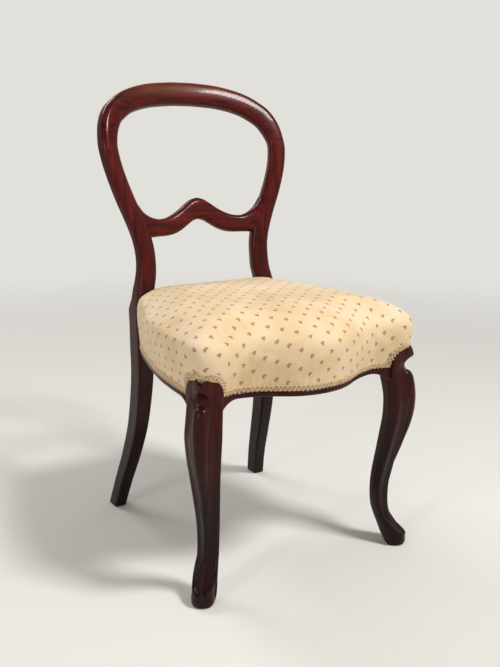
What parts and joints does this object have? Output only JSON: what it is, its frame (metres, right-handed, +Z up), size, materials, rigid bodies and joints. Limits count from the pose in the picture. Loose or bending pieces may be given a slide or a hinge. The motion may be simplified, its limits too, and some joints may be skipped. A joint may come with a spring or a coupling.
{
  "type": "balloon back chair",
  "caption": "Balloon back dining chair with a hooped back, carved cross rail, upholstered serpentine seat, braid edging and cabriole front legs.",
  "frame": {"origin": "on the floor, under the middle of the chair's overall box", "axes": "+Z up, -Y to the front of the chair, +X to the right of someone who faces its front"},
  "size_m": [0.4626, 0.53, 0.855],
  "materials": {
    "show_wood": "French polished dark red-brown mahogany",
    "frame_wood": "plain sawn hardwood, unpolished",
    "screws": "dull steel",
    "webbing": "woven jute tape",
    "hessian": "coarse plain weave",
    "stuffing": "curled hair under wadding",
    "seat_fabric": "woven cotton with small brown sprigs",
    "gimp": "looped braid"
  },
  "bodies": {
    "root": {"right_stile": "show_wood", "left_stile": "show_wood", "crest_rail": "show_wood", "mid_rail": "show_wood", "front_right_leg": "show_wood", "front_left_leg": "show_wood", "front_rail": "show_wood", "right_rail": "show_wood", "left_rail": "show_wood", "rear_rail": "frame_wood", "front_right_block": "frame_wood", "front_left_block": "frame_wood", "rear_right_block": "frame_wood", "rear_left_block": "frame_wood", "crest_dowels": "frame_wood", "block_screws": "screws", "webbing_long_1": "webbing", "webbing_long_2": "webbing", "webbing_long_3": "webbing", "webbing_long_4": "webbing", "webbing_cross_1": "webbing", "webbing_cross_2": "webbing", "webbing_cross_3": "webbing", "webbing_cross_4": "webbing", "hessian": "hessian", "stuffing": "stuffing", "seat_cover": "seat_fabric", "gimp_front": "gimp", "gimp_rear": "gimp"}
  },
  "joints": []
}
